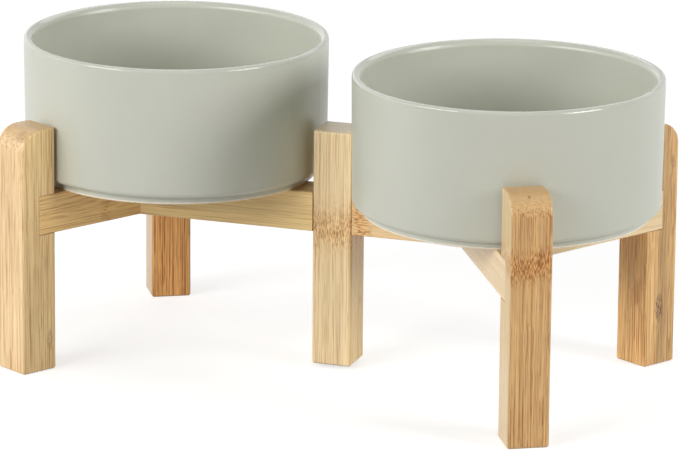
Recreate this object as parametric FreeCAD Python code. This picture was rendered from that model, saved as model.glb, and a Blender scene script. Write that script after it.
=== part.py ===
import FreeCAD, Part
import math
import os

# Raised twin pet feeder: two glazed bowls on one five-legged bamboo stand.
# Millimetres, +Z up. The origin is on the floor under the axis of the middle leg.
# +X runs from the left bowl to the right bowl along the two middle arms, +Y to the rear.
# The stand is unchanged by half a turn about Z, which swaps its two halves.

# Bowls
BOWL_DIAMETER = 149.0        # over the lip
BOWL_HEIGHT = 67.5           # foot to lip
BOWL_TAPER = 0.6             # how much the radius shrinks from the lip to the wall's lower edge
BOWL_WALL = 4.6              # also the width of the lip
LIP_OUTER_RADIUS = 1.5       # the lip's inner rounding takes the rest of the wall
BOWL_FLOOR = 5.5             # top of the floor above the foot's underside
BOWL_INNER_RADIUS = 14.0     # rounding between the inside wall and the floor
BOWL_TURN_RADIUS = 2.6       # rounding of the wall's lower edge
FOOT_SETBACK = 5.0           # foot ring behind the wall's lower edge
FOOT_HEIGHT = 4.0
FOOT_RING_WIDTH = 6.5
FOOT_RECESS = 2.0            # hollow of the underside inside the foot ring
FOOT_EDGE_RADIUS = 0.7

# Bamboo bars of the stand
BAR_WIDTH = 20.0             # width of legs and arms, so that their sides are flush
ARM_DEPTH = 19.5
SEAT_HEIGHT = 88.0           # top of the arms, where the bowls stand
LEG_RISE = 33.0              # outer legs above the seat
MIDDLE_LEG_SHORT = 1.8       # the middle leg stops this short of the others at both ends
LEG_TOP_RADIUS = 11.0        # rounding of an outer leg's outer top edge
LEG_EASE = 1.2               # eased edges of the legs
ARM_EASE = 0.5               # eased long edges of the arms
LEG_FOOT_CHAMFER = 0.8

# Fits
OUTER_LEG_CLEARANCE = 1.0    # outer legs to the bowl's lip, seen from above
MIDDLE_LEG_CLEARANCE = 3.3   # middle leg to the bowl's lip, seen from above
HOUSING_DEPTH = 10.0         # how far an arm is let into an outer leg
GLUE_GAP = 0.1               # glue line between bars, and around dowels

# Dowels
DOWEL_DIAMETER = 6.0
DOWEL_CHAMFER = 0.8
DOWEL_IN_ARM = 15.0          # depth in the end grain of an arm
DOWEL_COVER = 3.0            # wood left behind a blind dowel in an outer leg
DOWEL_POCKET = 0.5           # empty end of a dowel's hole

# Derived sizes
BOWL_RADIUS = BOWL_DIAMETER / 2
LIP_INNER_RADIUS = BOWL_WALL - LIP_OUTER_RADIUS
ARM_BOTTOM = SEAT_HEIGHT - ARM_DEPTH
LEG_HEIGHT = SEAT_HEIGHT + LEG_RISE
OUTER_LEG_FACE = BOWL_RADIUS + OUTER_LEG_CLEARANCE    # hub to an outer leg's inner face
MIDDLE_LEG_FACE = BOWL_RADIUS + MIDDLE_LEG_CLEARANCE  # hub to the middle leg's near face
ARM_SEAT = OUTER_LEG_FACE + HOUSING_DEPTH             # hub to the back of a leg's housing
HUB_X = MIDDLE_LEG_FACE + BAR_WIDTH / 2
HUB_Y = BAR_WIDTH / 2        # one side of each arm runs through the hub's centre
HUB_DOWEL_DEPTH = BAR_WIDTH / 2
LEG_DOWEL_DEPTH = BAR_WIDTH - HOUSING_DEPTH - DOWEL_COVER
DOWEL_LEVELS = (ARM_BOTTOM + ARM_DEPTH / 4, SEAT_HEIGHT - ARM_DEPTH / 4)
HOLE_RADIUS = DOWEL_DIAMETER / 2 + GLUE_GAP

# Pinwheel: an arm's end is cut along the side of the arm one step clockwise of it
ARMS_PER_HUB = 3
PINWHEEL_STEP = 360 / ARMS_PER_HUB
BEVEL_TURN = 90 - PINWHEEL_STEP    # direction across the bevelled joint, in the arm's own axes
BEVEL_SLOPE = math.tan(math.radians(-BEVEL_TURN))
BEVEL_STRETCH = 1 / math.cos(math.radians(BEVEL_TURN))

UP = FreeCAD.Vector(0, 0, 1)
ALONG = FreeCAD.Vector(1, 0, 0)
LEFT_HUB = FreeCAD.Vector(-HUB_X, HUB_Y, 0)
RIGHT_HUB = FreeCAD.Vector(HUB_X, -HUB_Y, 0)
SAME_POINT = 1e-6

# Per half: its hub, its middle arm's direction in degrees from +X, and its outer arms' directions
HALVES = {
    "left": (LEFT_HUB, 0, {"rear": PINWHEEL_STEP, "front": -PINWHEEL_STEP}),
    "right": (RIGHT_HUB, 180, {"front": 180 + PINWHEEL_STEP, "rear": 180 - PINWHEEL_STEP}),
}


def point(along, across, height):
    return FreeCAD.Vector(along, across, height)


def line(start, end):
    return Part.LineSegment(start, end).toShape()


def corner_arc(centre, radius, from_angle, to_angle):
    """Arc about centre in the XZ plane, angles in degrees from +X towards +Z."""
    stops = []
    for angle in (from_angle, (from_angle + to_angle) / 2, to_angle):
        turn = math.radians(angle)
        stops.append(centre + point(math.cos(turn), 0, math.sin(turn)) * radius)
    return Part.Arc(*stops).toShape()


def closed_face(edges):
    """Face inside the edges, taken in order, with straight edges across the gaps between them."""
    outline = []
    for edge, following in zip(edges, edges[1:] + edges[:1]):
        outline.append(edge)
        end = edge.valueAt(edge.LastParameter)
        start = following.valueAt(following.FirstParameter)
        if end.distanceToPoint(start) > SAME_POINT:
            outline.append(line(end, start))
    return Part.Face(Part.Wire(outline))


def placed(shape, hub, angle):
    """Copy of a shape moved from an arm's own axes (along, across, up) to its place at a hub."""
    moved = shape.copy()
    moved.Placement = FreeCAD.Placement(hub, FreeCAD.Rotation(UP, angle))
    return moved


def without(solid, cutters):
    return solid.cut(Part.makeCompound(cutters))


def bowl():
    """Turned bowl on its own axis: slightly tapered wall, rounded lip, foot ring with a hollow underside."""
    lower = BOWL_RADIUS - BOWL_TAPER
    foot = lower - FOOT_SETBACK
    ring_inside = foot - FOOT_RING_WIDTH
    crest = BOWL_RADIUS - LIP_OUTER_RADIUS    # where the lip is highest
    foot_edge = point(foot - FOOT_EDGE_RADIUS, 0, FOOT_EDGE_RADIUS)
    turn = point(lower - BOWL_TURN_RADIUS, 0, FOOT_HEIGHT + BOWL_TURN_RADIUS)
    lip_outside = point(crest, 0, BOWL_HEIGHT - LIP_OUTER_RADIUS)
    lip_inside = point(crest, 0, BOWL_HEIGHT - LIP_INNER_RADIUS)
    inner = point(lower - BOWL_WALL - BOWL_INNER_RADIUS, 0, BOWL_FLOOR + BOWL_INNER_RADIUS)
    half_section = closed_face([
        line(point(0, 0, FOOT_RECESS), point(ring_inside - FOOT_RECESS, 0, FOOT_RECESS)),
        line(point(ring_inside, 0, 0), point(foot_edge.x, 0, 0)),
        corner_arc(foot_edge, FOOT_EDGE_RADIUS, -90, 0),
        line(point(foot, 0, FOOT_EDGE_RADIUS), point(foot, 0, FOOT_HEIGHT)),
        corner_arc(turn, BOWL_TURN_RADIUS, -90, 0),
        corner_arc(lip_outside, LIP_OUTER_RADIUS, 0, 90),
        corner_arc(lip_inside, LIP_INNER_RADIUS, 90, 180),
        corner_arc(inner, BOWL_INNER_RADIUS, 0, -90),
        line(point(inner.x, 0, BOWL_FLOOR), point(0, 0, BOWL_FLOOR)),
    ])
    return half_section.revolve(FreeCAD.Vector(), UP, 360)


def leg(face, bottom, top, top_radius):
    """Leg in its arm's axes, inner side at distance face from the hub, with eased edges."""
    outer = face + BAR_WIDTH
    inner_side = line(point(face, 0, top), point(face, 0, bottom))
    if top_radius:
        top_centre = point(outer - top_radius, 0, top - top_radius)
        outer_top = corner_arc(top_centre, top_radius, 0, 90)
    else:
        outer_top = line(point(outer, 0, top), point(face, 0, top))
    underside = line(point(face, 0, bottom), point(outer, 0, bottom))
    blank = closed_face([inner_side, underside, outer_top]).extrude(point(0, -BAR_WIDTH, 0))
    chamfer = min(LEG_FOOT_CHAMFER, LEG_EASE * 0.9)    # stays inside the eased corners

    def at_foot(edge):
        return edge.BoundBox.ZMax < bottom + LEG_EASE / 2

    def smooth(edge):
        crosses = edge.BoundBox.YLength > BAR_WIDTH / 2
        return crosses and top_radius and edge.BoundBox.XMin > face + LEG_EASE

    sharp = [edge for edge in blank.Edges if not at_foot(edge) and not smooth(edge)]
    eased = blank.makeFillet(LEG_EASE, sharp)
    return eased.makeChamfer(chamfer, [edge for edge in eased.Edges if at_foot(edge)])


def arm(end):
    """Arm in its own axes: bevelled pinwheel end at the hub, square end at distance end."""
    bevel_top = GLUE_GAP * BEVEL_STRETCH
    bevel_tip = bevel_top - BAR_WIDTH * BEVEL_SLOPE
    outline = [(bevel_top, 0), (end, 0), (end, -BAR_WIDTH), (bevel_tip, -BAR_WIDTH), (bevel_top, 0)]
    corners = [point(along, across, ARM_BOTTOM) for along, across in outline]
    blank = Part.Face(Part.makePolygon(corners)).extrude(UP * ARM_DEPTH)
    long_edges = [edge for edge in blank.Edges if edge.BoundBox.XLength > BAR_WIDTH]
    return blank.makeFillet(ARM_EASE, long_edges)


def housing():
    """Room for an arm's end in an outer leg, open at the leg's inner side and both flanks."""
    start = point(OUTER_LEG_FACE - BAR_WIDTH, -2 * BAR_WIDTH, ARM_BOTTOM - GLUE_GAP)
    return Part.makeBox(BAR_WIDTH + HOUSING_DEPTH, 3 * BAR_WIDTH, ARM_DEPTH + 2 * GLUE_GAP, start)


def dowel(start, direction, length):
    """Round dowel with chamfered ends."""
    rod = Part.makeCylinder(DOWEL_DIAMETER / 2, length, start, direction)
    rims = [edge for edge in rod.Edges if isinstance(edge.Curve, Part.Circle)]
    return rod.makeChamfer(DOWEL_CHAMFER, rims)


def dowel_pair(start, direction, length):
    """Two dowels, one above the other, and the holes that take them."""
    rods = []
    holes = []
    for level in DOWEL_LEVELS:
        base = start + UP * level
        rods.append(dowel(base, direction, length))
        mouth = base - direction * DOWEL_POCKET
        holes.append(Part.makeCylinder(HOLE_RADIUS, length + 2 * DOWEL_POCKET, mouth, direction))
    return rods, holes


def hub_joint():
    """Dowels across the bevelled joint at an arm's inner end, in that arm's axes."""
    turn = math.radians(BEVEL_TURN)
    direction = point(math.cos(turn), math.sin(turn), 0)
    middle = point(-BAR_WIDTH * BEVEL_SLOPE / 2, -BAR_WIDTH / 2, 0)
    return dowel_pair(middle - direction * HUB_DOWEL_DEPTH, direction, 2 * HUB_DOWEL_DEPTH)


def outer_leg_joint():
    """Blind dowels from an arm's square end into its leg, in the arm's axes."""
    start = point(ARM_SEAT - DOWEL_IN_ARM, -BAR_WIDTH / 2, 0)
    return dowel_pair(start, ALONG, DOWEL_IN_ARM + LEG_DOWEL_DEPTH)


def middle_leg_joint():
    """Dowels right through the middle leg into both middle arms, in the part's axes."""
    reach = BAR_WIDTH / 2 + DOWEL_IN_ARM
    return dowel_pair(point(-reach, 0, 0), ALONG, 2 * reach)


def half_stand(side, hub, middle_angle, outer_angles, middle_holes):
    """One half's bowl, arms, outer legs and dowels, by node name."""
    nodes = {side + "_bowl": placed(bowl(), hub + UP * SEAT_HEIGHT, 0)}
    hub_rods, hub_holes = hub_joint()
    angles = [middle_angle + step * PINWHEEL_STEP for step in range(ARMS_PER_HUB)]
    rods = [placed(rod, hub, angle) for angle in angles for rod in hub_rods]
    holes = [placed(hole, hub, angle) for angle in angles for hole in hub_holes]
    nodes[side + "_hub_dowels"] = Part.makeCompound(rods)

    middle_arm = placed(arm(MIDDLE_LEG_FACE - GLUE_GAP), hub, middle_angle)
    nodes[side + "_middle_arm"] = without(middle_arm, holes + middle_holes)

    leg_rods, leg_holes = outer_leg_joint()
    top_radius = min(LEG_TOP_RADIUS, BAR_WIDTH - 2 * LEG_EASE)    # leaves a flat on the leg's top
    outer_leg = without(leg(OUTER_LEG_FACE, 0, LEG_HEIGHT, top_radius), [housing()] + leg_holes)
    outer_arm = without(arm(ARM_SEAT - GLUE_GAP), leg_holes)
    for end, angle in outer_angles.items():
        corner = end + "_" + side
        nodes[side + "_" + end + "_arm"] = without(placed(outer_arm, hub, angle), holes)
        nodes[corner + "_leg"] = placed(outer_leg, hub, angle)
        nodes[corner + "_leg_dowels"] = Part.makeCompound([placed(rod, hub, angle) for rod in leg_rods])
    return nodes


def feeder():
    """All pieces by node name."""
    middle_rods, middle_holes = middle_leg_joint()
    middle_leg = leg(MIDDLE_LEG_FACE, MIDDLE_LEG_SHORT, LEG_HEIGHT - MIDDLE_LEG_SHORT, 0)
    nodes = {
        "middle_leg": without(placed(middle_leg, LEFT_HUB, 0), middle_holes),
        "middle_leg_dowels": Part.makeCompound(middle_rods),
    }
    for side, (hub, middle_angle, outer_angles) in HALVES.items():
        nodes.update(half_stand(side, hub, middle_angle, outer_angles, middle_holes))
    return nodes


os.makedirs("parts", exist_ok=True)
for name, shape in feeder().items():
    shape.exportStep("parts/" + name + ".step")
    print(name, "solids", len(shape.Solids), "volume", round(shape.Volume, 1), "valid", shape.isValid())
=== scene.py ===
import math
from typing import NamedTuple

import bpy
from mathutils import Matrix, Vector


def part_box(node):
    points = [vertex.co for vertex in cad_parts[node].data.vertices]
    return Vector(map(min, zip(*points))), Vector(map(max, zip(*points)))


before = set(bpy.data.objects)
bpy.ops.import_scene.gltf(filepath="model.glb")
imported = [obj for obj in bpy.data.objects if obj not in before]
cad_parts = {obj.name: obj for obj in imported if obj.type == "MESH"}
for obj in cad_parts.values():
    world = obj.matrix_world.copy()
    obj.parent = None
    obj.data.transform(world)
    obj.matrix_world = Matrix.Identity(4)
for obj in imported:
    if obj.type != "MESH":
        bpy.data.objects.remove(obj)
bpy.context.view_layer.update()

# Raised twin pet feeder: glazed bowls on a laminated bamboo stand.
# Places are in metres, in the CAD frame. Sizes within the materials are in mm.

MM = 0.001

# Camera of the photograph, solved from the outlines of bowls, legs and arms
IMAGE_WIDTH = 679
FOCAL_PIXELS = 5168.4
SENSOR_WIDTH = 36.0
CAMERA_YAW = math.radians(18.684)      # stands to the right of straight in front
CAMERA_PITCH = math.radians(15.452)
CAMERA_ROLL = math.radians(0.533)
CAMERA_DISTANCE = 2.50564
AIM_HEIGHT = 0.080
AIM_RIGHT = 0.00032
AIM_UP = -0.009793

# Studio
FLOOR_SIZE = 12.0
FLOOR_ALBEDO = 0.60
FLOOR_SEEN_ALBEDO = 0.55     # what the camera sees of the floor's own light and shadow
FLOOR_SEEN_GLOW = 0.66       # brings the open floor up to white
WORLD_LIGHT = 0.09
WORLD_SEEN = 1.0             # shows as white
# name: place, width and height, power in watts
SOFTBOXES = {
    "key_left": ((-1.00, -1.52, 0.83), (1.3, 0.8), 24.6),
    "side_left": ((-1.45, -0.55, 0.60), (1.1, 0.9), 3.7),
    "fill_right": ((1.57, -0.22, 0.68), (0.65, 0.75), 15.4),
    "top": ((0.0, 0.0, 1.70), (0.6, 0.6), 2.2),
    "back_left": ((-1.30, 0.75, 0.70), (2.2, 1.4), 4.2),
    "back": ((0.0, 1.30, 1.20), (1.6, 0.8), 5.0),
}
LIGHT_AIM = Vector((0.0, 0.0, 0.09))


def tone(red, green, blue):
    """Linear colour of a display colour given in 0 to 255."""
    linear = []
    for value in (red, green, blue):
        share = value / 255
        linear.append(share / 12.92 if share <= 0.04045 else ((share + 0.055) / 1.055) ** 2.4)
    return (*linear, 1.0)


NOISE_MIDDLE = 0.5

# Bamboo: a size is the length along the bar and the breadth across it, a noise is its detail
# and roughness
BAR_WIDTH = 20.0
GRAIN_SHIFT = 37.0                # between the patterns of one seed and the next
WANDER_SIZE = (16.0, 8.0)         # slow waves in the grain
NODE_WANDER = 9.0                 # how far they move a node band
FIBRE_SWAY = 0.8                  # how far they move the fibres
STREAK_SIZE = (24.0, 0.46)        # single dark fibre bundles
STREAK_NOISE = (2.0, 0.55)
STREAK_RANGE = (0.50, 0.70)       # noise over which a streak sets in
STREAK_SHARE = 0.6
HAIR_SIZE = (45.0, 0.46)          # fine light and dark lines
HAIR_NOISE = (2.0, 0.6)
HAIR_SHARE = 4.6
BUNDLE_SIZE = (90.0, 1.3)         # broader light and dark lines
BUNDLE_SHARE = 0.8
DASH_SIZE = (2.4, 0.46)           # short fibres in a node band
DASH_SHARE = 6.5
DASH_BASE = -3.0
DRIFT_SIZE = (60.0, 2.6)          # slow change of brightness
DRIFT_SHARE = 0.24
DRIFT_BASE = 0.88
FIBRE = tone(192, 152, 104)       # multiplies the wood where a fibre bundle runs
PALE_SHARE = -0.30                # brightens the wood between the bundles
NODE_TINT = tone(244, 228, 204)   # multiplies the wood in a node band
NODE_CONTRAST = 0.45              # more fibre contrast there
GLUE_LINE = 0.86                  # brightness of the line between strips
GLUE_LINE_HALF = 0.012            # half width of that line, as a share of the bar
RAMP_TOP = 2.0                    # brightness that a ramp's white stands for
MARK = tone(122, 82, 48)
MARK_EDGE = (0.3, 1.8)            # squared distance over which a mark fades, in its half sizes
FLECK_SIZE = (2.0, 0.45)          # grain within a mark
FLECK_RANGE = (0.40, 0.58)
FLECK_LOW = 0.2                   # share of the mark between its flecks
BAMBOO_ROUGHNESS = 0.40
FIBRE_ROUGHNESS = 0.14            # more on dark fibres
LACQUER = 0.25
LACQUER_ROUGHNESS = 0.16
FIBRE_GROOVE = 0.08               # depth of the dark fibres
BUMP_STRENGTH = 0.5

# Glaze
GLAZE = tone(200, 202, 188)
GLAZE_SPECULAR = 0.65
GLAZE_ROUGHNESS = 0.30
LIP_DEPTH = 2.3                   # depth of the glossier glaze below the lip's top
LIP_EDGE = 1.15                   # where it is fully so
LIP_GLOSS = -0.26                 # change of roughness there
CLOUD_SIZE = 26.0
CLOUD_SHARE = 0.07                # of the brightness
CLOUD_BASE = 0.965
CLOUD_ROUGHNESS = 0.10
SPECK_SIZE = 1.1
SPECK_DETAIL = 3.0
SPECK_SHARE = 0.05
SPECK_RELIEF = 0.08
WAVE_SIZE = 9.0
WAVE_RELIEF = 0.06                # height of the glaze's slow waves
CLAY = tone(244, 232, 212)
CLAY_SHARE = 0.3                  # of the specks in the clay's brightness
CLAY_BASE = 0.85
CLAY_ROUGHNESS = 0.40             # more than the glaze
BARE_FOOT = 1.0                   # height of the bare line of clay above the foot's underside
BARE_EDGE_HALF = 0.15             # half width of the glaze's lower edge
BARE_WAVE_SIZE = 3.0
BARE_WAVE = 0.5                   # how far that edge wanders


class Band(NamedTuple):
    """Node band across a bar."""
    place: float
    half_width: float
    strength: float


class Mark(NamedTuple):
    """Dark flecked mark about a point of a bar."""
    along: float
    depth: float                  # across the edge faces
    width: float                  # across the flat faces
    half_length: float
    half_width: float
    strength: float


class Look(NamedTuple):
    """Looks of one bar, which is glued up from strips.

    A leg's flat faces look outward and inward, an arm's are its upright sides. The edge faces
    are the other two long faces. Strips are (start across the face, brightness).
    """
    seed: int
    # flat, edge and end colours hold the bamboo's own tone and also painted light and shade of
    # that face
    flat: tuple
    edge: tuple
    streak: tuple                 # fibre contrast on the flat and on the edge faces
    flat_strips: tuple = ((0.0, 1.0),)
    edge_strips: tuple = ((0.0, 1.0),)
    end: tuple = tone(206, 168, 116)
    end_streak: float = 0.5       # fibre contrast on end grain
    bands: tuple = ()
    marks: tuple = ()


# Each bar's flat, edge and end colours hold the bamboo's own tone and also painted light and
# shade: they were lightened or darkened face by face to the light and shade that falls on that
# face.
LOOKS = {
    "front_left_leg": Look(
        seed=1, flat=tone(240, 206, 156), edge=tone(252, 219, 158), streak=(0.70, 0.72),
        flat_strips=((0.0, 1.0), (0.55, 1.03)),
        edge_strips=((0.0, 1.0), (0.34, 0.98), (0.86, 0.92)),
        end=tone(214, 177, 124), end_streak=0.7,
        marks=(Mark(15.5, -6.0, 10.0, 4.5, 1.8, 0.35), Mark(117.5, 6.0, 5.0, 3.0, 3.6, 0.40))),
    "rear_left_leg": Look(
        seed=2, flat=tone(230, 172, 101), edge=tone(206, 174, 130), streak=(1.30, 0.40),
        flat_strips=((0.0, 0.96), (0.30, 1.05), (0.74, 0.98))),
    "middle_leg": Look(
        seed=3, flat=tone(245, 210, 141), edge=tone(247, 220, 172), streak=(0.50, 0.48),
        flat_strips=((0.0, 1.0), (0.40, 0.97)),
        edge_strips=((0.0, 0.99), (0.80, 1.06)),
        end=tone(203, 184, 153), end_streak=0.4,
        bands=(Band(71.0, 10.0, 0.85),),
        marks=(Mark(32.0, 10.0, 4.0, 2.6, 0.7, 0.7),)),
    "front_right_leg": Look(
        seed=4, flat=tone(218, 174, 115), edge=tone(226, 198, 149), streak=(0.95, 0.28),
        flat_strips=((0.0, 0.97), (0.36, 1.02), (0.70, 1.0)),
        end=tone(210, 169, 113), end_streak=0.25,
        bands=(Band(88.0, 7.0, 1.0),),
        marks=(Mark(119.2, 4.4, -0.5, 1.4, 0.8, 0.95),)),
    "rear_right_leg": Look(
        seed=5, flat=tone(244, 195, 126), edge=tone(218, 176, 116), streak=(1.15, 1.05),
        flat_strips=((0.0, 1.04), (0.36, 0.90), (0.82, 1.02)),
        edge_strips=((0.0, 1.22), (0.39, 0.83), (0.69, 1.05)),
        marks=(Mark(101.0, 6.0, -10.0, 4.0, 1.2, 0.5), Mark(29.0, -1.0, -10.0, 6.5, 2.4, 1.0))),
    "left_middle_arm": Look(
        seed=6, flat=tone(246, 213, 147), edge=tone(220, 184, 128), streak=(0.42, 0.50),
        flat_strips=((0.0, 0.99), (0.45, 1.02)),
        edge_strips=((0.0, 1.0), (0.40, 1.04), (0.72, 0.97))),
    "left_front_arm": Look(
        seed=7, flat=tone(252, 211, 140), edge=tone(218, 174, 116), streak=(0.80, 0.90),
        flat_strips=((0.0, 1.04), (0.62, 0.94)),
        edge_strips=((0.0, 0.98), (0.30, 1.03), (0.72, 1.0)),
        bands=(Band(44.0, 3.0, 0.45),)),
    "left_rear_arm": Look(
        seed=8, flat=tone(212, 176, 122), edge=tone(218, 182, 128), streak=(0.50, 0.45),
        flat_strips=((0.0, 1.0), (0.5, 0.97)),
        edge_strips=((0.0, 1.0), (0.36, 0.96), (0.66, 1.03))),
    "right_middle_arm": Look(
        seed=9, flat=tone(250, 217, 164), edge=tone(230, 192, 136), streak=(0.42, 0.50),
        flat_strips=((0.0, 1.0), (0.52, 1.02)),
        edge_strips=((0.0, 1.0), (0.28, 1.04), (0.66, 0.98)),
        bands=(Band(74.0, 5.0, 1.0),)),
    "right_front_arm": Look(
        seed=10, flat=tone(239, 212, 168), edge=tone(231, 202, 158), streak=(0.22, 0.25),
        flat_strips=((0.0, 1.0), (0.5, 1.02)),
        edge_strips=((0.0, 1.0), (0.42, 1.02), (0.76, 0.98))),
    "right_rear_arm": Look(
        seed=11, flat=tone(242, 216, 170), edge=tone(234, 206, 158), streak=(0.25, 0.30),
        flat_strips=((0.0, 1.0), (0.60, 1.02), (0.78, 0.99)),
        edge_strips=((0.0, 1.0), (0.38, 1.02))),
}
DOWEL_LOOK = Look(
    seed=12, flat=tone(222, 196, 156), edge=tone(222, 196, 156), streak=(0.30, 0.30))

# Direction of each arm from its hub, in degrees from +X, and of each leg from its own half's hub
LEFT_ARMS = {"left_middle_arm": 0, "left_rear_arm": 120, "left_front_arm": -120}
RIGHT_ARMS = {"right_middle_arm": 180, "right_front_arm": -60, "right_rear_arm": 60}
LEG_ANGLES = {
    "middle_leg": 0,
    "rear_left_leg": 120,
    "front_left_leg": -120,
    "front_right_leg": -60,
    "rear_right_leg": 60,
}
DOWELS = [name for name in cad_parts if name.endswith("_dowels")]


class Shader:
    """A material's node tree, with short calls that return output sockets."""

    # Sockets of a mix node for colours
    MIX_FACTOR = 0
    MIX_FIRST = 6
    MIX_SECOND = 7
    MIX_RESULT = 2

    def __init__(self, name):
        self.material = bpy.data.materials.new(name)
        self.material.use_nodes = True
        self.nodes = self.material.node_tree.nodes
        self.links = self.material.node_tree.links
        self.nodes.clear()
        self.surface = self.nodes.new("ShaderNodeBsdfPrincipled")
        self.output = self.nodes.new("ShaderNodeOutputMaterial")
        self.links.new(self.surface.outputs["BSDF"], self.output.inputs["Surface"])

    def feed(self, socket, value):
        """Link another node's output, or set a constant."""
        if isinstance(value, bpy.types.NodeSocket):
            self.links.new(value, socket)
        else:
            socket.default_value = value

    def calc(self, operation, *values):
        node = self.nodes.new("ShaderNodeMath")
        node.operation = operation
        for socket, value in zip(node.inputs, values):
            self.feed(socket, value)
        return node.outputs["Value"]

    def between(self, share, first, second):
        """Number that goes from first to second by a share."""
        return self.calc("MULTIPLY_ADD", self.calc("SUBTRACT", second, first), share, first)

    def step(self, value, low, high, start=0.0, end=1.0):
        """Smooth ramp of a value from start at low to end at high."""
        node = self.nodes.new("ShaderNodeMapRange")
        node.interpolation_type = "SMOOTHSTEP"
        for socket, setting in zip(node.inputs, (value, low, high, start, end)):
            self.feed(socket, setting)
        return node.outputs["Result"]

    def local(self, origin, angle):
        """Object coordinates in mm, in axes at origin turned by angle about Z."""
        texture = self.nodes.new("ShaderNodeTexCoord")
        node = self.nodes.new("ShaderNodeMapping")
        node.vector_type = "TEXTURE"
        self.feed(node.inputs["Vector"], texture.outputs["Object"])
        node.inputs["Location"].default_value = origin
        node.inputs["Rotation"].default_value = (0.0, 0.0, math.radians(angle))
        node.inputs["Scale"].default_value = (MM, MM, MM)
        return self.separate(node.outputs["Vector"])

    def facing(self, angle):
        """Squared parts of the surface normal in axes turned by angle about Z."""
        texture = self.nodes.new("ShaderNodeTexCoord")
        node = self.nodes.new("ShaderNodeMapping")
        node.vector_type = "VECTOR"
        self.feed(node.inputs["Vector"], texture.outputs["Normal"])
        node.inputs["Rotation"].default_value = (0.0, 0.0, math.radians(-angle))
        return [self.calc("POWER", part, 2.0) for part in self.separate(node.outputs["Vector"])]

    def separate(self, vector):
        node = self.nodes.new("ShaderNodeSeparateXYZ")
        self.feed(node.inputs["Vector"], vector)
        return list(node.outputs)

    def combine(self, x, y, z):
        node = self.nodes.new("ShaderNodeCombineXYZ")
        for socket, value in zip(node.inputs, (x, y, z)):
            self.feed(socket, value)
        return node.outputs["Vector"]

    def noise(self, vector, detail=2.0, roughness=0.5):
        node = self.nodes.new("ShaderNodeTexNoise")
        self.feed(node.inputs["Vector"], vector)
        node.inputs["Scale"].default_value = 1.0
        node.inputs["Detail"].default_value = detail
        node.inputs["Roughness"].default_value = roughness
        return node.outputs["Fac"]

    def grey_ramp(self, value, stops):
        """Brightness looked up from (place, brightness) stops."""
        node = self.nodes.new("ShaderNodeValToRGB")
        elements = node.color_ramp.elements
        while len(elements) < len(stops):
            elements.new(0.5)
        while len(elements) > len(stops):
            elements.remove(elements[-1])
        for element, (place, brightness) in zip(elements, stops):
            grey = brightness / RAMP_TOP
            element.position = place
            element.color = (grey, grey, grey, 1.0)
        self.feed(node.inputs["Fac"], value)
        return self.calc("MULTIPLY", node.outputs["Color"], RAMP_TOP)

    def mix(self, factor, first, second, blend="MIX"):
        node = self.nodes.new("ShaderNodeMix")
        node.data_type = "RGBA"
        node.blend_type = blend
        self.feed(node.inputs[self.MIX_FACTOR], factor)
        self.feed(node.inputs[self.MIX_FIRST], first)
        self.feed(node.inputs[self.MIX_SECOND], second)
        return node.outputs[self.MIX_RESULT]

    def tint(self, colour, other):
        """Colour times another colour."""
        return self.mix(1.0, colour, other, "MULTIPLY")

    def shade(self, vector, factor):
        """Colour or place times a number."""
        node = self.nodes.new("ShaderNodeVectorMath")
        node.operation = "SCALE"
        self.feed(node.inputs["Vector"], vector)
        self.feed(node.inputs["Scale"], factor)
        return node.outputs["Vector"]

    def bump(self, height, distance):
        """Relief of a height map whose full height is the given distance in mm."""
        node = self.nodes.new("ShaderNodeBump")
        self.feed(node.inputs["Height"], height)
        node.inputs["Distance"].default_value = distance * MM
        node.inputs["Strength"].default_value = BUMP_STRENGTH
        self.links.new(node.outputs["Normal"], self.surface.inputs["Normal"])

    def set(self, socket, value):
        self.feed(self.surface.inputs[socket], value)


def strip_stops(strips):
    """Ramp stops for strips of the given brightness, with a thin glue line between them."""
    stops = [(0.0, strips[0][1])]
    for (_, before), (start, after) in zip(strips, strips[1:]):
        stops.append((start - GLUE_LINE_HALF, before))
        stops.append((start, GLUE_LINE * min(before, after)))
        stops.append((start + GLUE_LINE_HALF, after))
    return stops


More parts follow.
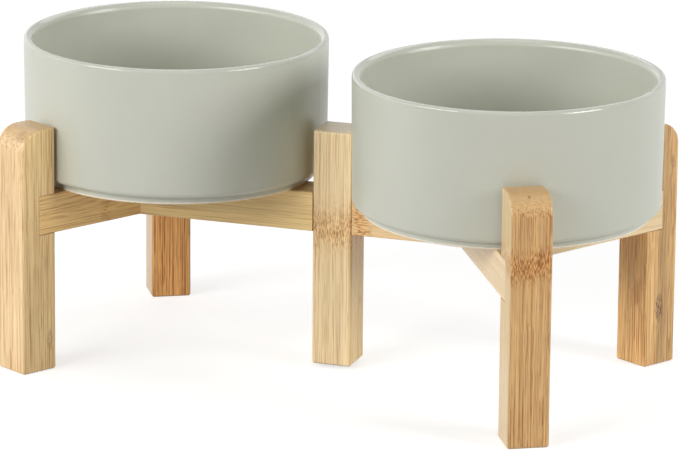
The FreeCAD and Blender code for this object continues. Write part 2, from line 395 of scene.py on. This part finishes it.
class BambooShader(Shader):
    """Grain of one bar. It runs through the solid, so all faces cut the same wood."""

    def __init__(self, name, look, origin, angle, upright):
        super().__init__(name)
        self.look = look
        x, y, z = self.local(origin, angle)
        facing_x, facing_y, facing_z = self.facing(angle)
        if upright:
            self.along, self.depth, self.width = z, x, y
            self.on_end, self.on_flat = facing_z, facing_x
            self.depth_middle = 0.5
        else:
            self.along, self.depth, self.width = x, y, z
            self.on_end, self.on_flat = facing_x, facing_y
            self.depth_middle = 1.0          # an arm lies to one side of its hub's axis
        self.wander = self.calc("SUBTRACT", self.grain(WANDER_SIZE), NOISE_MIDDLE)
        self.sway = self.calc("MULTIPLY", self.wander, FIBRE_SWAY)
        self.band = self.node_band()

    def grain(self, size, detail=1.0, roughness=0.5, sway=None):
        """Noise drawn out along the bar, with features of the given size."""
        length, breadth = size
        shift = GRAIN_SHIFT * self.look.seed
        sides = (self.depth, self.width)
        if sway is not None:
            sides = [self.calc("ADD", side, sway) for side in sides]
        far = self.calc("MULTIPLY_ADD", self.along, 1 / length, shift)
        across = [self.calc("MULTIPLY_ADD", side, 1 / breadth, shift) for side in sides]
        return self.noise(self.combine(far, *across), detail, roughness)

    def node_band(self):
        """How far a point lies in a node band, where the fibres are short, dark and wavy."""
        band = 0.0
        for place, half_width, strength in self.look.bands:
            offset = self.calc("SUBTRACT", self.along, place)
            offset = self.calc("MULTIPLY_ADD", self.wander, NODE_WANDER, offset)
            square = self.calc("MULTIPLY", offset, offset)
            falloff = self.calc("EXPONENT", self.calc("MULTIPLY", square, -half_width ** -2))
            band = self.calc("MAXIMUM", self.calc("MULTIPLY", falloff, strength), band)
        return band

    def strip_tone(self, side, strips, middle):
        place = self.calc("MULTIPLY_ADD", side, 1 / BAR_WIDTH, middle)
        return self.grey_ramp(place, strip_stops(strips))

    def wood(self):
        """Colour before the fibres: faces, glued strips, slow drift and node bands."""
        look = self.look
        # The face colours picked here carry painted light and shade besides the bamboo's own tone.
        colour = self.mix(self.on_end, self.mix(self.on_flat, look.edge, look.flat), look.end)
        on_edge_face = self.strip_tone(self.depth, look.edge_strips, self.depth_middle)
        on_flat_face = self.strip_tone(self.width, look.flat_strips, 0.5)
        brightness = self.between(self.on_flat, on_edge_face, on_flat_face)
        drift = self.calc("MULTIPLY_ADD", self.grain(DRIFT_SIZE), DRIFT_SHARE, DRIFT_BASE)
        colour = self.shade(colour, self.calc("MULTIPLY", brightness, drift))
        if look.bands:
            colour = self.mix(self.band, colour, self.tint(colour, NODE_TINT))
        return colour

    def fibres(self):
        """Long fibre bundles, and short dashes in the node bands; dark is positive."""
        streaks = self.step(self.grain(STREAK_SIZE, *STREAK_NOISE, self.sway), *STREAK_RANGE)
        hairs = self.calc("SUBTRACT", self.grain(HAIR_SIZE, *HAIR_NOISE, self.sway), NOISE_MIDDLE)
        bundles = self.calc("SUBTRACT", self.grain(BUNDLE_SIZE, sway=self.sway), NOISE_MIDDLE)
        fibres = self.calc("MULTIPLY", streaks, STREAK_SHARE)
        fibres = self.calc("MULTIPLY_ADD", bundles, BUNDLE_SHARE, fibres)
        fibres = self.calc("MULTIPLY_ADD", hairs, HAIR_SHARE, fibres)
        if self.look.bands:
            dashes = self.grain(DASH_SIZE, sway=self.sway)
            dashes = self.calc("MULTIPLY_ADD", dashes, DASH_SHARE, DASH_BASE)
            fibres = self.between(self.band, fibres, dashes)
        return fibres

    def contrast(self):
        """Fibre contrast on each kind of face, and more in the node bands."""
        flat_streak, edge_streak = self.look.streak
        contrast = self.between(self.on_flat, edge_streak, flat_streak)
        contrast = self.between(self.on_end, contrast, self.look.end_streak)
        if self.look.bands:
            contrast = self.calc("MULTIPLY_ADD", self.band, NODE_CONTRAST, contrast)
        return contrast

    def mark_share(self, mark):
        """How far a mark covers the wood."""
        away = 0.0
        for side, middle, reach in (
                (self.along, mark.along, mark.half_length),
                (self.depth, mark.depth, mark.half_width),
                (self.width, mark.width, mark.half_width)):
            offset = self.calc("DIVIDE", self.calc("SUBTRACT", side, middle), reach)
            away = self.calc("MULTIPLY_ADD", offset, offset, away)
        inside = self.step(away, *MARK_EDGE, 1.0, 0.0)
        flecks = self.grain(FLECK_SIZE, sway=self.sway)
        flecks = self.step(flecks, *FLECK_RANGE, FLECK_LOW * mark.strength, mark.strength)
        return self.calc("MULTIPLY", inside, flecks)


def bamboo(name, look, origin, angle, upright):
    """Laminated bamboo: strips, fibre bundles that end as dots on end grain, node bands, marks."""
    shader = BambooShader(name, look, origin, angle, upright)
    fibres = shader.calc("MULTIPLY", shader.fibres(), shader.contrast())
    dark = shader.calc("MAXIMUM", fibres, 0.0)
    pale = shader.calc("MULTIPLY_ADD", shader.calc("MINIMUM", fibres, 0.0), PALE_SHARE, 1.0)
    colour = shader.wood()
    colour = shader.mix(dark, colour, shader.tint(colour, FIBRE))
    colour = shader.shade(colour, pale)
    for mark in look.marks:
        colour = shader.mix(shader.mark_share(mark), colour, MARK)

    shader.set("Base Color", colour)
    roughness = shader.calc("MULTIPLY_ADD", dark, FIBRE_ROUGHNESS, BAMBOO_ROUGHNESS)
    shader.set("Roughness", roughness)
    shader.set("Coat Weight", LACQUER)
    shader.set("Coat Roughness", LACQUER_ROUGHNESS)
    shader.bump(shader.calc("MULTIPLY", dark, -1.0), FIBRE_GROOVE)
    return shader.material


def glaze(name, centre, height):
    """Satin glaze with faint mottling, a glossier lip, and bare clay under the foot."""
    shader = Shader(name)
    x, y, z = shader.local(centre, 0)
    place = shader.combine(x, y, z)

    def mottle(size, detail=2.0):
        return shader.noise(shader.shade(place, 1 / size), detail)

    clouds = mottle(CLOUD_SIZE)
    specks = mottle(SPECK_SIZE, SPECK_DETAIL)
    brightness = shader.calc("MULTIPLY_ADD", clouds, CLOUD_SHARE, CLOUD_BASE)
    uneven = shader.calc("SUBTRACT", specks, NOISE_MIDDLE)
    brightness = shader.calc("MULTIPLY_ADD", uneven, SPECK_SHARE, brightness)
    colour = shader.shade(GLAZE[:3], brightness)

    uneven = shader.calc("SUBTRACT", mottle(BARE_WAVE_SIZE), NOISE_MIDDLE)
    above = shader.calc("MULTIPLY_ADD", uneven, BARE_WAVE, z)
    bare = shader.step(above, BARE_FOOT - BARE_EDGE_HALF, BARE_FOOT + BARE_EDGE_HALF, 1.0, 0.0)
    clay_tone = shader.calc("MULTIPLY_ADD", specks, CLAY_SHARE, CLAY_BASE)
    colour = shader.mix(bare, colour, shader.shade(CLAY[:3], clay_tone))

    on_lip = shader.step(z, height - LIP_DEPTH, height - LIP_EDGE)
    roughness = shader.calc("MULTIPLY_ADD", clouds, CLOUD_ROUGHNESS, GLAZE_ROUGHNESS)
    roughness = shader.calc("MULTIPLY_ADD", on_lip, LIP_GLOSS, roughness)
    roughness = shader.calc("MULTIPLY_ADD", bare, CLAY_ROUGHNESS, roughness)

    shader.set("Base Color", colour)
    shader.set("Roughness", roughness)
    shader.set("Specular IOR Level", GLAZE_SPECULAR)
    relief = shader.calc("MULTIPLY_ADD", specks, SPECK_RELIEF, mottle(WAVE_SIZE))
    shader.bump(relief, WAVE_RELIEF)
    return shader.material


def centre_of(node):
    low, high = (Vector(corner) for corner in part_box(node))
    return (low + high) / 2


def dress(node, material):
    """Give a CAD node its finish."""
    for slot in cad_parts[node].material_slots:
        slot.material = material


def dress_bowl(node):
    low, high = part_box(node)
    centre = centre_of(node)
    foot = (centre.x, centre.y, low[2])
    dress(node, glaze(node + "_glaze", foot, (high[2] - low[2]) / MM))


def dress_legs():
    for node, angle in LEG_ANGLES.items():
        centre = centre_of(node)
        foot = (centre.x, centre.y, 0.0)
        dress(node, bamboo(node + "_bamboo", LOOKS[node], foot, angle, True))


def dress_arms(bowl, arms):
    """Give the arms under a bowl their bamboo, whose axes start from the bowl's middle."""
    hub = centre_of(bowl)
    for node, angle in arms.items():
        start = (hub.x, hub.y, centre_of(node).z)
        dress(node, bamboo(node + "_bamboo", LOOKS[node], start, angle, False))


def dress_dowels():
    dowel_wood = bamboo("dowel_wood", DOWEL_LOOK, (0.0, 0.0, 0.0), 0, False)
    for node in DOWELS:
        dress(node, dowel_wood)


def seen_ray(nodes, links):
    """1 for rays that show the backdrop: from the camera, in reflections and through glass."""
    path = nodes.new("ShaderNodeLightPath")
    seen = path.outputs["Is Camera Ray"]
    for ray in ("Is Glossy Ray", "Is Transmission Ray"):
        node = nodes.new("ShaderNodeMath")
        node.operation = "MAXIMUM"
        links.new(seen, node.inputs[0])
        links.new(path.outputs[ray], node.inputs[1])
        seen = node.outputs["Value"]
    return seen


def floor_material():
    """Pale grey to the lights, and white with the soft shadow to the camera."""
    material = bpy.data.materials.new("floor_white")
    material.use_nodes = True
    nodes, links = material.node_tree.nodes, material.node_tree.links
    nodes.clear()
    plain = nodes.new("ShaderNodeBsdfDiffuse")
    plain.inputs["Color"].default_value = (FLOOR_ALBEDO, FLOOR_ALBEDO, FLOOR_ALBEDO, 1.0)
    shown = nodes.new("ShaderNodeBsdfDiffuse")
    seen = FLOOR_SEEN_ALBEDO
    shown.inputs["Color"].default_value = (seen, seen, seen, 1.0)
    glow = nodes.new("ShaderNodeEmission")
    glow.inputs["Strength"].default_value = FLOOR_SEEN_GLOW
    lifted = nodes.new("ShaderNodeAddShader")
    links.new(shown.outputs["BSDF"], lifted.inputs[0])
    links.new(glow.outputs["Emission"], lifted.inputs[1])
    choice = nodes.new("ShaderNodeMixShader")
    links.new(seen_ray(nodes, links), choice.inputs["Fac"])
    links.new(plain.outputs["BSDF"], choice.inputs[1])
    links.new(lifted.outputs["Shader"], choice.inputs[2])
    output = nodes.new("ShaderNodeOutputMaterial")
    links.new(choice.outputs["Shader"], output.inputs["Surface"])
    return material


def add_floor():
    half = FLOOR_SIZE / 2
    corners = [(-half, -half, 0), (half, -half, 0), (half, half, 0), (-half, half, 0)]
    mesh = bpy.data.meshes.new("floor")
    mesh.from_pydata(corners, [], [(0, 1, 2, 3)])
    mesh.materials.append(floor_material())
    floor = bpy.data.objects.new("floor", mesh)
    bpy.context.scene.collection.objects.link(floor)


def add_world():
    """Even white surroundings that light the part gently and show as white."""
    world = bpy.data.worlds.new("studio")
    bpy.context.scene.world = world
    world.use_nodes = True
    nodes, links = world.node_tree.nodes, world.node_tree.links
    nodes.clear()
    strength = nodes.new("ShaderNodeMapRange")
    links.new(seen_ray(nodes, links), strength.inputs["Value"])
    strength.inputs["To Min"].default_value = WORLD_LIGHT
    strength.inputs["To Max"].default_value = WORLD_SEEN
    background = nodes.new("ShaderNodeBackground")
    background.inputs["Color"].default_value = (1.0, 1.0, 1.0, 1.0)
    links.new(strength.outputs["Result"], background.inputs["Strength"])
    output = nodes.new("ShaderNodeOutputWorld")
    links.new(background.outputs["Background"], output.inputs["Surface"])


def add_softboxes():
    for name, (place, (width, height), power) in SOFTBOXES.items():
        light = bpy.data.lights.new(name, "AREA")
        light.shape = "RECTANGLE"
        light.size = width
        light.size_y = height
        light.energy = power
        lamp = bpy.data.objects.new(name, light)
        bpy.context.scene.collection.objects.link(lamp)
        lamp.location = place
        lamp.rotation_euler = (LIGHT_AIM - Vector(place)).to_track_quat("-Z", "Y").to_euler()


def add_camera():
    """Camera at the photograph's viewpoint."""
    forward = Vector((
        -math.sin(CAMERA_YAW) * math.cos(CAMERA_PITCH),
        math.cos(CAMERA_YAW) * math.cos(CAMERA_PITCH),
        -math.sin(CAMERA_PITCH)))
    level = Vector((math.cos(CAMERA_YAW), math.sin(CAMERA_YAW), 0.0))
    above = level.cross(forward)
    right = level * math.cos(CAMERA_ROLL) + above * math.sin(CAMERA_ROLL)
    up = above * math.cos(CAMERA_ROLL) - level * math.sin(CAMERA_ROLL)
    aim = Vector((0.0, 0.0, AIM_HEIGHT)) + right * AIM_RIGHT + up * AIM_UP
    place = aim - forward * CAMERA_DISTANCE
    lens = bpy.data.cameras.new("photo_camera")
    lens.sensor_fit = "HORIZONTAL"
    lens.sensor_width = SENSOR_WIDTH
    lens.lens = FOCAL_PIXELS * SENSOR_WIDTH / IMAGE_WIDTH
    camera = bpy.data.objects.new("photo_camera", lens)
    bpy.context.scene.collection.objects.link(camera)
    turn = Matrix((right, up, -forward)).transposed()
    camera.matrix_world = Matrix.Translation(place) @ turn.to_4x4()
    bpy.context.scene.camera = camera


bpy.context.scene.view_settings.view_transform = "Standard"
add_camera()
add_world()
add_floor()
add_softboxes()
dress_bowl("left_bowl")
dress_bowl("right_bowl")
dress_legs()
dress_arms("left_bowl", LEFT_ARMS)
dress_arms("right_bowl", RIGHT_ARMS)
dress_dowels()
